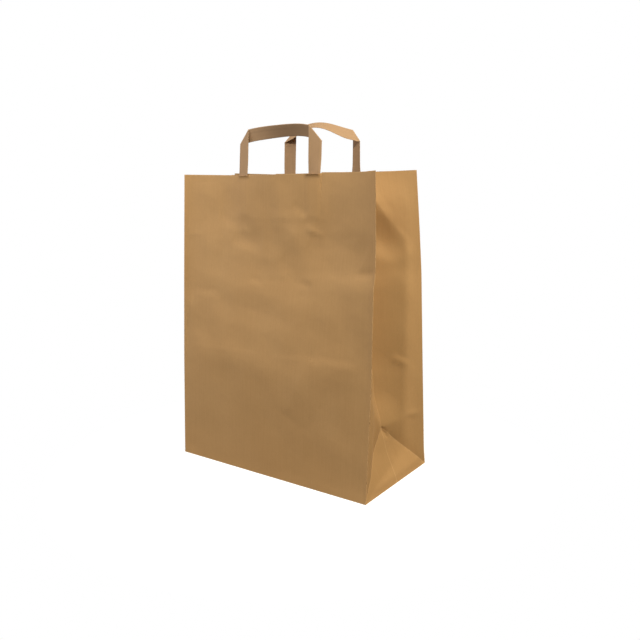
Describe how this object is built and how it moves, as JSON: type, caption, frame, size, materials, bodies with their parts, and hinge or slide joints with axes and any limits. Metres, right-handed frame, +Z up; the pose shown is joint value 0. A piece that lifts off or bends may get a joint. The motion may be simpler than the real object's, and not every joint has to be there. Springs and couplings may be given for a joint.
{
  "type": "flat handle paper carrier bag",
  "caption": "Open block-bottom paper carrier bag with folded side gussets and a flat folded-tape loop handle pasted inside each long side of its mouth.",
  "frame": {"origin": "centre of the base, on the surface that the bag stands on", "axes": "+Z up towards the mouth, +X along the long side of the base, -Y the front panel"},
  "size_m": [0.32, 0.16, 0.4774],
  "materials": {
    "kraft_sheet": "matt unbleached brown kraft paper with a faint machine-direction grain",
    "kraft_tape": "matt brown kraft paper folded into a flat tape",
    "kraft_patch": "matt brown kraft paper"
  },
  "bodies": {
    "root": {"bag_body": "kraft_sheet", "front_handle": "kraft_tape", "back_handle": "kraft_tape", "front_handle_patch": "kraft_patch", "back_handle_patch": "kraft_patch"}
  },
  "joints": []
}
